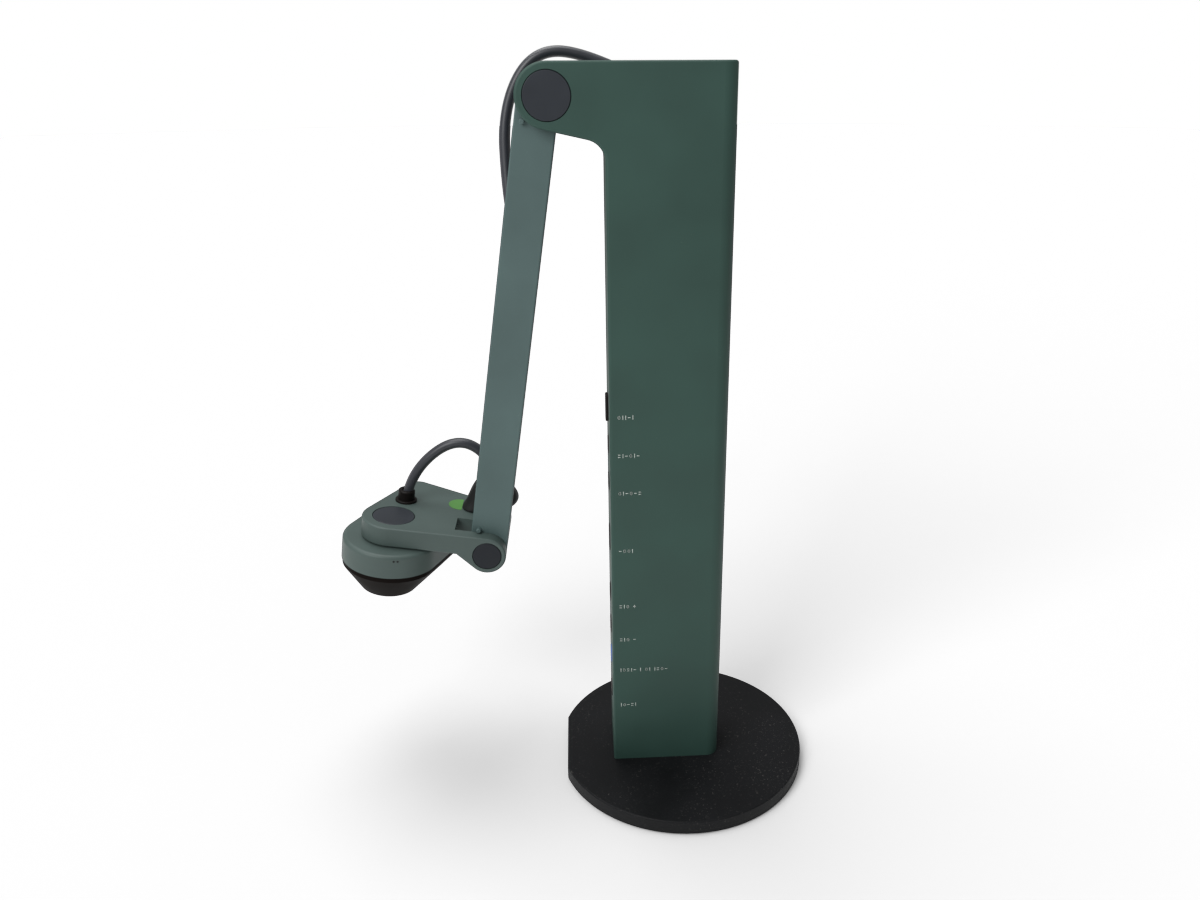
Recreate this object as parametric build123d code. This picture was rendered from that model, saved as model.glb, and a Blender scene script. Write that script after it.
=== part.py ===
"""Document camera (book scanner) with a folding arm on a tall column.

Frame: millimetres, +Z up, origin at the centre of the round base, on its underside.
The labelled side of the column faces -Y, and the camera arm hangs on the -X side.
The arm frame has its origin on the elbow axis: u runs along the bracket, away from the
column, v runs towards the labelled side (-Y), and w runs up along the arm.
"""

import math
import os

from build123d import *

os.makedirs("parts", exist_ok=True)

# Base
base_radius = 62.0
base_flat_cut = 3.4  # depth of the flat on the side under the camera
pad_thickness = 1.0
plate_thickness = 6.4
base_height = pad_thickness + plate_thickness
base_edge_round = 0.7
pad_inset = 1.5
base_screw_half_x = 10.0
base_screw_half_y = 6.0

# Column
column_height = 330.0
column_width = 53.0
column_depth = 31.0
column_front = -35.2
column_rear = column_front + column_width
column_middle = (column_front + column_rear) / 2
column_top = base_height + column_height
half_depth = column_depth / 2
rear_corner_round = 6.0
edge_round = 1.1
wall = 2.4
foot_height = 16.0

# Shoulder hinge
lobe_radius = 12.7
shoulder_x = -57.9
shoulder_z = column_top - lobe_radius
neck_slope = math.radians(12.6)  # how steeply the neck's underside falls to the column
neck_round = 9.0
cheek = 6.5  # near cheek, on both hinges
slot_width = 12.4
pocket_radius = 13.2
slot_open_x = -50.5  # the arm's slot is open above and below, up to here
near_cheek = half_depth - cheek
far_cheek = near_cheek - slot_width

# Arm
arm_tilt = 8.9
arm_length = 202.4
shoulder_offset = 3.4  # shoulder axis to the arm's centre line
arm_half_width = 8.55
arm_thickness = 11.8
arm_gap = (slot_width - arm_thickness) / 2
arm_near = near_cheek - arm_gap
arm_far = arm_near - arm_thickness
arm_wall = 2.2
arm_cover_thickness = 1.8
arm_split = arm_far + arm_cover_thickness
arm_edge_round = 0.7
arm_cover_screws_w = (58.0, 112.0)
peg_radius = 1.1
peg_proud = 2.2
peg_u = 5.2
peg_gap = 0.15

# Bracket that carries the camera head
elbow_radius = 8.6
bracket_underside = -0.6
bracket_top = elbow_radius
bracket_slot_end = 16.2
bracket_far = -28.0
swivel_u = 45.3
swivel_end_radius = 14.2
swivel_v = half_depth - swivel_end_radius
far_corner = (42.0, -42.3)
far_corner_round = 6.0
bracket_edge_round = 0.8
bracket_wall = 2.0
undercut_start = 14.0
under_cover_screws_uv = ((25.0, 10.0), (24.0, -27.0), (40.0, -33.5))
gland_place = (42.4, -16.5)

# Hinge hardware
cap_radius = 9.5
small_cap_radius = 6.5
cap_thickness = 1.6
cap_gap = 0.25
running_gap = 0.05
shoulder_pin = 3.0
elbow_pin = 2.5
swivel_pin = 3.0
bush_wall = 1.2
pin_head = 1.8
near_pocket = 2.3
shoulder_pocket = 6.4
elbow_pocket = 14.0
nut_height = 2.6
washer = 0.8

# Camera head
head_top = -1.2
head_radius = 22.3
head_length = 27.0  # between the centres of its two round ends
head_turn = math.radians(250.0)  # direction of its far end, from +u towards +v
head_wall_height = 11.2
head_top_round = 1.8
head_shell = 1.8
band_height = 2.4
band_step = 0.5
cone_height = 12.6
cone_radius = 12.6
head_split = head_top - head_wall_height
band_low = head_split - band_height
cone_low = band_low - cone_height
lens_radius = 7.0
lamp_radius = 6.0
sensor_board_low = -15.4

# Leads
lead_radius = 2.25
upper_hood = (-17.0, 328.9)  # centre of the hood on the column, in X and Z
upper_hood_slope = -24.0
arm_hood = (2.8, 130.0)  # centre of the hood on the arm, in u and w
lead_plane = 18.1

# Buttons on the column's front: height above the base, length, and how far they stand out
buttons = {
    "light": (184.1, 12.4, 1.2),
    "filter": (165.9, 8.0, 0.4),
    "rotate": (147.6, 8.0, 0.4),
    "zoom": (118.3, 12.4, 0.4),
    "exposure_up": (88.7, 8.0, 0.4),
    "exposure_down": (70.4, 8.0, 0.4),
    "focus": (53.1, 8.0, 0.4),
    "power": (32.8, 8.0, 0.4),
}
button_width = 6.0
button_corner = 1.5
button_flange = 1.0
button_travel = 0.6
strip_half_width = 9.0
strip_thickness = 1.6
strip_low = base_height + 18.0
strip_high = base_height + 202.0
fit_gap = 0.1
switch_face = column_front + 4.6
switch_board_face = column_front + 6.4

# Ports: half height, half width and height of the middle
port_half_width = 8.0
port_low = base_height + 22.0
port_high = base_height + 80.0
video_socket = (7.5, 3.0, port_low + 42.0)
data_socket = (6.0, 5.5, port_low + 16.0)
socket_metal = 0.4
socket_depth = 11.0


def write(name, shape):
    """Save one node as parts/NAME.step."""
    export_step(shape, f"parts/{name}.step")


def group(solids):
    """Separate solids that share one node."""
    return Compound(children=list(solids))


def slab(sketch, low, high):
    """Extrude a sketch drawn in the first and third axes between two depths."""
    return extrude(Plane.XZ.offset(-high) * sketch, amount=high - low)


def block(x_low, x_high, y_low, y_high, z_low, z_high):
    """A box given by its limits."""
    size = (x_high - x_low, y_high - y_low, z_high - z_low)
    return Pos(x_low, y_low, z_low) * Box(*size, align=Align.MIN)


def rod(radius, start, end, at=(0, 0)):
    """A cylinder along the third axis between two heights, in any order."""
    low = min(start, end)
    body = Cylinder(radius, abs(end - start), align=(Align.CENTER, Align.CENTER, Align.MIN))
    return Pos(at[0], at[1], low) * body


def cross_rod(radius, start, end, at=(0, 0)):
    """A cylinder along the second axis, at a place in the first and third axes."""
    return Pos(at[0], 0, at[1]) * Rot(-90, 0, 0) * rod(radius, start, end)


def on_shoulder(shape):
    """Place a piece built along the third axis on the shoulder axis."""
    return Pos(shoulder_x, 0, shoulder_z) * Rot(90, 0, 0) * shape


def on_elbow(shape):
    """Place a piece built along the third axis on the elbow axis, in the arm frame."""
    return Rot(-90, 0, 0) * shape


def rounded_rim(body, depth, radius):
    """Round the outline edges of the face at a depth along the second axis."""
    rim = [edge for edge in body.edges() if abs(edge.center().Y - depth) < 0.01]
    return fillet(rim, radius)


tilt = math.radians(arm_tilt)
u_axis = Vector(-math.cos(tilt), 0, math.sin(tilt))
w_axis = Vector(math.sin(tilt), 0, math.cos(tilt))
elbow = Vector(shoulder_x, 0, shoulder_z) - w_axis * arm_length + u_axis * shoulder_offset
arm_frame = Plane(origin=elbow, x_dir=u_axis, z_dir=w_axis).location
shoulder_in_arm = (-shoulder_offset, arm_length)
peg_reach = lobe_radius + peg_radius + 0.2
upper_peg_w = arm_length - math.sqrt(peg_reach**2 - (peg_u + shoulder_offset) ** 2)
lower_peg_w = elbow_radius + peg_radius + peg_gap
swivel = (swivel_u, swivel_v)
head_far = (
    swivel_u + head_length * math.cos(head_turn),
    swivel_v + head_length * math.sin(head_turn),
)


# Base


def base_outline(radius, flat):
    """Round outline with one flat side towards -X."""
    return Circle(radius) & (Pos(radius - flat, 0) * Rectangle(2 * radius, 2 * radius))


def base_screw_places():
    """Centres of the screws that hold the column on the base."""
    return [
        (column_middle + x, y)
        for x in (-base_screw_half_x, base_screw_half_x)
        for y in (-base_screw_half_y, base_screw_half_y)
    ]


def base_plate():
    """Weighted steel disc that keeps the stand upright."""
    outline = base_outline(base_radius, base_radius - base_flat_cut)
    body = Pos(0, 0, pad_thickness) * extrude(outline, amount=plate_thickness)
    body = fillet(body.edges().group_by(Axis.Z)[-1], base_edge_round)
    for place in base_screw_places():
        body -= rod(2.55, pad_thickness, base_height, place)
        body -= rod(4.6, pad_thickness, pad_thickness + 2.8, place)
    return body


def base_pad():
    """Thin non-slip sheet under the disc."""
    body = extrude(
        base_outline(base_radius - pad_inset, base_radius - base_flat_cut - pad_inset),
        amount=pad_thickness,
    )
    for place in base_screw_places():
        body -= rod(5.0, 0, pad_thickness, place)
    return body


def base_screws():
    """Screws from the underside of the disc into the column's foot."""
    head_low = pad_thickness + 0.4
    screw = rod(4.4, head_low, pad_thickness + 2.8) + rod(2.5, pad_thickness + 2.8, 20.0)
    screw -= Pos(0, 0, head_low) * extrude(RegularPolygon(1.7, 6), amount=1.4)
    return group(Pos(x, y, 0) * screw for x, y in base_screw_places())


# Column


def column_profile():
    """Side outline of the column with its neck and round shoulder lobe."""
    touch_x = shoulder_x - lobe_radius * math.sin(neck_slope)
    touch_z = shoulder_z - lobe_radius * math.cos(neck_slope)
    neck_z = touch_z - (column_front - touch_x) * math.tan(neck_slope)
    inside = column_front + wall
    upright = Rectangle(column_width, column_height)
    neck = Polyline(
        (shoulder_x, column_top),
        (touch_x, touch_z),
        (column_front, neck_z),
        (inside, neck_z),
        (inside, column_top),
        close=True,
    )
    outline = Pos(column_middle, base_height + column_height / 2) * upright + make_face(neck)
    outline += Pos(shoulder_x, shoulder_z) * Circle(lobe_radius)
    inner = outline.vertices().sort_by_distance((column_front, neck_z))[0]
    return fillet(inner, neck_round)


def is_soft_edge(edge):
    """True for the column's outer edges that are slightly rounded."""
    middle = edge.center()
    on_top = abs(middle.Z - column_top) < 0.01
    on_side = abs(abs(middle.Y) - half_depth) < 0.01
    in_front = middle.X < column_rear - rear_corner_round - 1
    return middle.Z > base_height + 1 and (on_top or (on_side and in_front))


def column_form():
    """Solid outer form of the column, before it is hollowed and split."""
    body = slab(column_profile(), -half_depth, half_depth)
    rear = body.edges().filter_by(Axis.Z).sort_by(Axis.X)[-2:]
    body = fillet(rear, rear_corner_round)
    return fillet(body.edges().filter_by(is_soft_edge), edge_round)


def shoulder_slot():
    """Space that the arm swings in, between the shoulder's two cheeks."""
    pocket = on_shoulder(rod(pocket_radius, far_cheek, near_cheek))
    outer = block(-80, slot_open_x, -near_cheek, -far_cheek, shoulder_z - 20, column_top + 5)
    return pocket + outer


def cheek_cuts(cap, head, pin, outer, inner, pocket):
    """Cap recess, pocket and pin hole in one cheek, from its outer face inwards."""
    way = math.copysign(1, inner - outer)
    recess = outer + way * cap_thickness
    floor = recess + way * pocket
    cuts = rod(cap + cap_gap, outer - way, recess)
    cuts += rod(head, recess - way, floor)
    return cuts + rod(pin + running_gap, floor - way, inner + way)


def column_hollow():
    """Space inside the column, with the windows for the buttons and the ports."""
    size = (column_width - 2 * wall, column_depth - 2 * wall)
    outline = Pos(column_middle, 0, base_height) * RectangleRounded(*size, rear_corner_round - wall)
    hollow = extrude(outline, amount=column_height - wall)
    front = (column_front - 1, column_front + wall + 1)
    hollow += block(*front, -strip_half_width, strip_half_width, strip_low, strip_high)
    rear = (column_rear - wall - 1, column_rear + 1)
    return hollow + block(*rear, -port_half_width, port_half_width, port_low, port_high)


def shell_screw_places():
    """Screws that draw the far casing onto the near one, as (x, z)."""
    low = base_height + foot_height / 2
    return [(-27.0, low), (9.0, low), (-26.4, 222.0), (8.8, 222.0), (-26.4, 305.0), (8.8, 305.0)]


def column_shells():
    """The two halves of the column's casing: the labelled one and the far one."""
    body = column_form() - shoulder_slot() - column_hollow()
    body -= on_shoulder(
        cheek_cuts(cap_radius, 6.3, shoulder_pin, half_depth, near_cheek, near_pocket)
    )
    body -= on_shoulder(
        cheek_cuts(cap_radius, 6.6, shoulder_pin, -half_depth, far_cheek, shoulder_pocket)
    )
    near = body & block(-100, 100, -50, 0, 0, 400)
    far = body & block(-100, 100, 0, 50, 0, 400)
    far -= cross_rod(2.6, half_depth - wall - 1, half_depth + 1, upper_hood)
    posts = shell_screw_places()[2:]
    for place in posts:
        near += cross_rod(3.2, -half_depth + 1, half_depth - wall - fit_gap, place)
    for place in shell_screw_places():
        far -= cross_rod(1.6, half_depth - wall - 1, half_depth + 1, place)
        far -= cross_rod(2.9, half_depth - 1.3, half_depth + 1, place)
    for place in posts:
        near -= cross_rod(1.55, -6.0, half_depth, place)
    return near, far


def shell_screws():
    """Screws on the far side of the column."""
    screw = rod(2.8, half_depth - 1.3, half_depth - 0.1) + rod(1.5, -5.8, half_depth - 1.3)
    screw -= Pos(0, 0, half_depth - 0.9) * extrude(RegularPolygon(1.3, 6), amount=1)
    return group(Pos(x, 0, z) * Rot(-90, 0, 0) * screw for x, z in shell_screw_places())


def column_foot():
    """Cast block inside the column's lower end, which the base screws go into."""
    size = (column_width - 2 * wall - 2 * fit_gap, column_depth - 2 * wall - 2 * fit_gap)
    corner = rear_corner_round - wall - fit_gap
    outline = Pos(column_middle, 0, base_height) * RectangleRounded(*size, corner)
    body = extrude(outline, amount=foot_height)
    for place in base_screw_places():
        body -= rod(2.55, base_height, 20.2, place)
    for place in shell_screw_places()[:2]:
        body -= cross_rod(1.55, -6.0, half_depth, place)
    return body


def column_spine():
    """Steel bar that stiffens the column from its foot to the neck."""
    return block(-20.0, 0.0, -12.0, -9.0, base_height + foot_height, column_top - wall - 1)


def button_outline(length, grow):
    """Rounded outline of one button, drawn with its length upright."""
    return RectangleRounded(button_width + 2 * grow, length + 2 * grow, button_corner + grow)


def on_front(sketch, x_from, x_to, z):
    """Extrude a sketch drawn in Y and Z along X at the given height."""
    plane = Plane(origin=(x_from, 0, z), x_dir=(0, 1, 0), z_dir=(1, 0, 0))
    return extrude(plane * sketch, amount=x_to - x_from)


def button_strip():
    """Strip in the front edge with one window per button."""
    half = strip_half_width - fit_gap
    depth = (column_front, column_front + strip_thickness)
    body = block(*depth, -half, half, strip_low + fit_gap, strip_high - fit_gap)
    for height, length, _ in buttons.values():
        hole = button_outline(length, 0.2)
        body -= on_front(hole, column_front - 1, column_front + 2, base_height + height)
    return body


def button(height, length, proud):
    """One push button: a cap, a flange behind the strip and a short stem."""
    z = base_height + height
    back = column_front + strip_thickness + 0.05
    cap = on_front(button_outline(length, 0), column_front - proud, back, z)
    cap = fillet(cap.faces().sort_by(Axis.X)[0].edges(), 0.35)
    cap += on_front(button_outline(length, button_flange), back, back + 0.8, z)
    return cap + on_front(Circle(1.2), back + 0.8, switch_face - button_travel - 0.1, z)


def button_board():
    """Narrow circuit board with one small push switch behind each button."""
    depth = (switch_board_face, switch_board_face + 1.6)
    body = block(*depth, -8.0, 8.0, strip_low + 2, strip_high - 2)
    for height, _, _ in buttons.values():
        z = base_height + height
        body += block(switch_face, switch_board_face, -2.6, 2.6, z - 2.6, z + 2.6)
    return body


def main_board():
    """Main circuit board, upright in the column, with its larger components."""
    body = block(-22.0, 5.0, 5.0, 6.6, base_height + foot_height, 160.0)
    body += block(-18.0, 0.0, 1.8, 5.0, 110.0, 132.0)
    for z in (45.0, 62.0, 79.0):
        body += block(-16.0, -6.0, 3.6, 5.0, z, z + 8)
    return body


def port_panel():
    """Recessed panel at the rear with the sockets' windows."""
    half = port_half_width - fit_gap
    depth = (column_rear - 2.2, column_rear - 0.6)
    body = block(*depth, -half, half, port_low + fit_gap, port_high - fit_gap)
    for half_z, half_y, z in (video_socket, data_socket):
        hole = Rectangle(2 * half_y + 0.2, 2 * half_z + 0.2)
        body -= on_front(hole, column_rear - 4, column_rear, z)
    return body


def socket(size):
    """Metal socket open to the rear, with a contact tongue inside."""
    half_z, half_y, z = size
    front = column_rear - 0.9
    back = front - socket_depth
    inner_y = half_y - socket_metal
    inner_z = half_z - socket_metal
    body = block(back, front, -half_y, half_y, z - half_z, z + half_z)
    body -= block(back + 1, front + 1, -inner_y, inner_y, z - inner_z, z + inner_z)
    return body + block(back + 1, front - 3, -0.4, 0.4, z - half_z + 2, z + half_z - 2)


def column_hood():
    """Hood on the far side of the column that the upper lead comes out of."""
    outline = Pos(*upper_hood) * Rot(0, 0, upper_hood_slope) * SlotOverall(17.0, 9.0)
    body = rounded_rim(slab(outline, half_depth, lead_plane + 4.3), lead_plane + 4.3, 2.4)
    return body


# Arm


def arm_outline(inset):
    """Outline of the arm in u and w, with its two round ends."""
    half = arm_half_width - inset
    bar = Pos(0, arm_length / 2) * Rectangle(2 * half, arm_length)
    upper = Pos(*shoulder_in_arm) * Circle(half + shoulder_offset)
    return bar + Circle(half) + upper


def arm_bosses(grow):
    """Solid places in the arm: two hinge barrels and two screw posts."""
    bosses = cross_rod(arm_half_width + grow, -20, 20) + cross_rod(9.0 + grow, -20, 20, shoulder_in_arm)
    for w in arm_cover_screws_w:
        bosses += cross_rod(3.0 + grow, -20, 20, (0, w))
    return bosses


def arm_bores():
    """Bores for the bushes at the arm's two ends."""
    low = cross_rod(elbow_pin + bush_wall + 0.02, -20, 20)
    return low + cross_rod(shoulder_pin + bush_wall + 0.02, -20, 20, shoulder_in_arm)


def arm_bar():
    """Cast arm, hollow from the far side, with the two hinge barrels."""
    body = rounded_rim(slab(arm_outline(0), arm_split, arm_near), arm_near, arm_edge_round)
    body -= slab(arm_outline(arm_wall), arm_split, arm_near - arm_wall) - arm_bosses(0)
    body -= arm_bores()
    for w in (lower_peg_w, upper_peg_w):
        body -= cross_rod(peg_radius, arm_near - 1.5, arm_near + 1, (peg_u, w))
    for w in arm_cover_screws_w:
        body -= cross_rod(1.2, arm_split - 1, arm_split + 6, (0, w))
    return body


def arm_cover():
    """Cover on the far side of the arm."""
    body = rounded_rim(slab(arm_outline(0), arm_far, arm_split), arm_far, arm_edge_round)
    body -= arm_bores()
    body -= cross_rod(2.0, -20, 20, arm_hood)
    for w in arm_cover_screws_w:
        body -= cross_rod(1.3, -20, 20, (0, w))
        body -= cross_rod(2.4, arm_far - 1, arm_far + 1, (0, w))
    return body


def arm_cover_screws():
    """Small screws that hold the arm's cover."""
    screw = cross_rod(2.3, arm_far + 0.1, arm_far + 1) + cross_rod(1.15, arm_far + 1, arm_split + 5.5)
    return group(Pos(0, 0, w) * screw for w in arm_cover_screws_w)


def stop_pegs():
    """Two pegs that stand out of the arm and limit its hinges."""
    peg = cross_rod(peg_radius, arm_near - 1.5, arm_near + peg_proud)
    peg = fillet(peg.edges().sort_by(Axis.Y)[-1], 0.4)
    return group(Pos(peg_u, 0, w) * peg for w in (lower_peg_w, upper_peg_w))


def arm_lead_hood():
    """Hood on the arm's far side that the upper lead goes into."""
    outline = Pos(*arm_hood) * Rot(0, 0, 90) * SlotOverall(19.0, 9.0)
    return rounded_rim(slab(outline, arm_far - 7.2, arm_far), arm_far - 7.2, 2.4)


# Hinge hardware


def hinge_bush(pin, at):
    """Plain bush in one end of the arm."""
    body = cross_rod(pin + bush_wall, arm_far + 0.1, arm_near - 0.1, at)
    return body - cross_rod(pin + running_gap, arm_far, arm_near, at)


def headed_pin(pin, head, head_low, end, bore=0.0):
    """Hinge pin with a flat head, and a bore for wires where it has one."""
    body = rod(pin, end, head_low) + rod(head, head_low, head_low + pin_head)
    if bore:
        body -= rod(bore, end, head_low + pin_head)
    return body


def friction_washers(pin, outer, start, way):
    """Two flat washers with a dished one between them, stacked from start."""
    flats = [
        rod(outer, start + way * gap, start + way * (gap + washer)) for gap in (0.05, 2.05)
    ]
    low = min(start + way * 0.9, start + way * 2.0)
    cone = Cone(outer, pin + 1, 1.05, align=(Align.CENTER, Align.CENTER, Align.MIN))
    dished = Pos(0, 0, low) * cone - Pos(0, 0, low - 0.5) * cone
    hole = rod(pin + 0.1, start - 5, start + 5)
    return group([piece - hole for piece in flats + [dished]])


def hinge_nut(pin, across, start, way):
    """Hexagon nut that loads the friction washers."""
    low = min(start + way * 2.9, start + way * (2.9 + nut_height))
    body = Pos(0, 0, low) * extrude(RegularPolygon(across / 2, 6), amount=nut_height)
    return body - rod(pin + 0.02, low, low + nut_height)


def end_cap(radius, outer, way):
    """Flat disc that closes a hinge, flush with the outer face."""
    disc = rod(radius, outer, outer + way * cap_thickness)
    edge = disc.edges().filter_by(GeomType.CIRCLE).sort_by_distance((0, 0, outer))[0]
    return fillet(edge, 0.35)


# Bracket


def tangent_angle(distance, height, radius):
    """Slope of a line from a point beside a circle that just touches its lower side."""
    return math.asin(radius / math.hypot(distance, height)) - math.atan2(height, distance)


def bracket_side():
    """Side outline of the bracket: a flat plate that ends in the elbow's round."""
    slope = tangent_angle(undercut_start, -bracket_underside, elbow_radius)
    plate = Polyline(
        (0, bracket_top),
        (80, bracket_top),
        (80, bracket_underside),
        (undercut_start, bracket_underside),
        (elbow_radius * math.sin(slope), -elbow_radius * math.cos(slope)),
        (0, 0),
        close=True,
    )
    return make_face(plate) + Circle(elbow_radius)


def bracket_plan(inset):
    """Plan outline of the bracket in u and v, from above."""
    radius = swivel_end_radius - inset
    corner = (far_corner[0] - inset, far_corner[1] + 1.2 * inset)
    near = half_depth - inset
    far = bracket_far + inset
    run = (swivel_u - corner[0], swivel_v - corner[1])
    slope = math.atan2(run[0], run[1]) + math.asin(radius / math.hypot(*run))
    touch = (swivel_u + radius * math.cos(slope), swivel_v - radius * math.sin(slope))
    sides = Polyline(
        (-12, near),
        (swivel_u, near),
        swivel,
        touch,
        corner,
        (elbow_radius, far),
        (-12, far),
        close=True,
    )
    outline = make_face(sides) + Pos(*swivel) * Circle(radius)
    tip = outline.vertices().sort_by_distance((*corner, 0))[0]
    return fillet(tip, far_corner_round - inset)


def bracket_hollow():
    """Space inside the bracket, open below, for the wiring and the swivel."""
    depth = bracket_top - bracket_wall - bracket_underside
    hollow = Pos(0, 0, bracket_underside) * extrude(bracket_plan(bracket_wall), amount=depth)
    hollow -= block(-20, bracket_slot_end + 2, -60, 30, -20, 20)
    hollow -= rod(8.0, -5, 20, swivel)
    hollow -= rod(cap_radius + 2, 4.0, 20, swivel)
    for place in under_cover_screws_uv:
        hollow -= rod(2.8, bracket_underside + 1.7, 20, place)
    return hollow


def bracket_body():
    """Cast plate with the elbow's two cheeks."""
    side = slab(bracket_side(), -60, 30)
    body = side & (Pos(0, 0, -20) * extrude(bracket_plan(0), amount=40))
    rim = [edge for edge in body.edges() if is_bracket_rim(edge)]
    body = fillet(rim, bracket_edge_round)
    body -= block(-20, bracket_slot_end, far_cheek, near_cheek, -20, 20)
    body -= bracket_hollow()
    body -= on_elbow(cheek_cuts(small_cap_radius, 4.7, elbow_pin, half_depth, near_cheek, near_pocket))
    body -= on_elbow(cheek_cuts(small_cap_radius, 5.4, elbow_pin, bracket_far, far_cheek, elbow_pocket))
    pivot = cheek_cuts(cap_radius, 6.3, swivel_pin, bracket_top, bracket_underside, near_pocket)
    body -= Pos(*swivel, 0) * pivot
    body -= rod(3.0, -5, bracket_top + 1, gland_place)
    for place in under_cover_screws_uv:
        body -= rod(1.2, -5, 5.5, place)
    return body


def is_bracket_rim(edge):
    """True for the rounded edges of the bracket's top and labelled side."""
    middle = edge.center()
    on_top = abs(middle.Z - bracket_top) < 0.01 and middle.X > 0.5
    return on_top or middle.Y > half_depth - 0.01


def bracket_under_cover():
    """Flat cover that closes the bracket from below."""
    low = bracket_underside
    body = Pos(0, 0, low) * extrude(bracket_plan(bracket_wall + fit_gap), amount=1.6)
    body -= block(-20, bracket_slot_end + 2 + fit_gap, -60, 30, -20, 20)
    body -= rod(8.1, -5, 20, swivel)
    for place in under_cover_screws_uv:
        body -= rod(1.2, -5, 20, place)
        body -= rod(2.1, low - 1, low + 0.8, place)
    return body


def bracket_screws():
    """Small screws in the bracket's lower cover."""
    low = bracket_underside + 0.05
    screw = rod(2.0, low, low + 0.75) + rod(1.15, low + 0.75, 5.2)
    return group(Pos(u, v, 0) * screw for u, v in under_cover_screws_uv)


def bracket_gland():
    """Flanged collar where the lower lead goes into the bracket."""
    flange = rod(5.1, bracket_top, bracket_top + 1.1, gland_place)
    flange = fillet(flange.edges().group_by(Axis.Z)[-1], 0.5)
    collar = rod(3.9, bracket_top + 1.1, bracket_top + 5.8, gland_place)
    collar = fillet(collar.edges().group_by(Axis.Z)[-1], 0.8)
    body = flange + collar + rod(2.95, bracket_top - 4, bracket_top, gland_place)
    return body - rod(lead_radius, bracket_top - 5, bracket_top + 7, gland_place)


def boot_outline():
    """Side outline of the moulded boot in u and w."""
    corners = [(17.0, 4.0), (9.4, 24.6), (3.6, 29.0), (-5.0, 26.5), (-10.8, 21.0), (-10.8, 15.0), (-2.0, 4.0)]
    outline = make_face(Polyline(*corners, close=True))
    return fillet(outline.vertices().filter_by(lambda vertex: vertex.Y > 5), 3.2)


def lead_boot():
    """Moulded rubber boot on the bracket that holds the lower lead's other end."""
    low = -23.4
    high = -9.8
    body = slab(boot_outline(), low, high)
    body = rounded_rim(body, low, 3.0)
    body = rounded_rim(body, high, 3.0)
    body -= block(-30, 30, -40, 10, -10, bracket_top)
    return body - lower_lead()


def sticker():
    """Thin round sticker, partly covered by the boot."""
    body = rod(5.8, bracket_top, bracket_top + 0.15, (16.3, -18.2))
    return body - block(-30, 15.4, -25, 0, 0, 20)


# Camera head


def head_outline(radius):
    """Long round-ended outline of the head about the swivel axis."""
    middle = ((swivel[0] + head_far[0]) / 2, (swivel[1] + head_far[1]) / 2)
    bar = Pos(*middle) * Rot(0, 0, math.degrees(head_turn)) * Rectangle(head_length, 2 * radius)
    return bar + Pos(*swivel) * Circle(radius) + Pos(*head_far) * Circle(radius)


def head_shell_body():
    """Upper casing of the camera head."""
    body = Pos(0, 0, head_split) * extrude(head_outline(head_radius), amount=head_wall_height)
    body = fillet(body.edges().group_by(Axis.Z)[-1], head_top_round)
    inner = head_outline(head_radius - head_shell)
    body -= Pos(0, 0, head_split) * extrude(inner, amount=head_wall_height - head_shell)
    body += rod(7.0, head_top - 4, head_top - 1, swivel)
    return body - rod(swivel_pin + running_gap, head_split, head_top + 1, swivel)


def tapered(radius_high, high, radius_low, low):
    """Long round-ended form that narrows downwards."""
    upper = Pos(0, 0, high) * head_outline(radius_high)
    lower = Pos(0, 0, low) * head_outline(radius_low)
    return loft([upper.face(), lower.face()], ruled=True)


def head_bezel():
    """Lower casing: a narrow band, then a taper down to the lens face."""
    radius = head_radius - band_step
    band = Pos(0, 0, band_low) * extrude(head_outline(radius), amount=band_height)
    body = band + tapered(radius, band_low, cone_radius, cone_low)
    body = fillet(body.edges().group_by(Axis.Z)[0], 1.4)
    lip_radius = head_radius - head_shell - fit_gap
    body += Pos(0, 0, head_split) * extrude(head_outline(lip_radius), amount=2)
    body -= Pos(0, 0, band_low) * extrude(head_outline(lip_radius - 1.4), amount=band_height + 2)
    body -= tapered(lip_radius - 1.4, band_low, cone_radius - 1.2, cone_low + 1.8)
    body -= rod(lens_radius, cone_low - 1, cone_low + 3, swivel)
    return body - rod(lamp_radius, cone_low - 1, cone_low + 3, head_far)


def cover_glass():
    """Clear window in front of the lens."""
    return rod(lens_radius - fit_gap, cone_low + 0.3, cone_low + 1.3, swivel)


def lens_barrel():
    """Barrel that holds the lens elements under the sensor."""
    body = rod(lens_radius - fit_gap, cone_low + 1.3, sensor_board_low, swivel)
    return body - rod(4.5, cone_low, sensor_board_low, swivel)


def lens_elements():
    """Two glass elements inside the barrel."""
    front = rod(4.45, cone_low + 2.4, cone_low + 5.4) & Pos(0, 0, cone_low + 9.4) * Sphere(7.0)
    rear = rod(4.45, cone_low + 7.0, cone_low + 8.2)
    return group(Pos(*swivel, 0) * element for element in (front, rear))


def sensor_board():
    """Round circuit board with the image sensor."""
    body = rod(11.0, sensor_board_low, sensor_board_low + 1.4, swivel)
    chip = Pos(*swivel, sensor_board_low - 0.4) * Box(5.6, 5.6, 0.8)
    return body + chip


def lamp_diffuser():
    """Milky cup over the lamp."""
    body = rod(lamp_radius - fit_gap, cone_low + 0.3, cone_low + 4.2, head_far)
    return body - rod(lamp_radius - 1.3, cone_low + 1.5, cone_low + 5, head_far)


def lamp_board():
    """Round circuit board with the lamp."""
    body = rod(8.0, cone_low + 4.2, cone_low + 5.6, head_far)
    return body + rod(1.8, cone_low + 3.2, cone_low + 4.2, head_far)


# Leads


def turn_at(before, here, after):
    """Angle in radians by which a route turns at one of its points."""
    first = Vector(*here) - Vector(*before)
    second = Vector(*after) - Vector(*here)
    return math.radians(first.get_angle(second))


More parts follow.
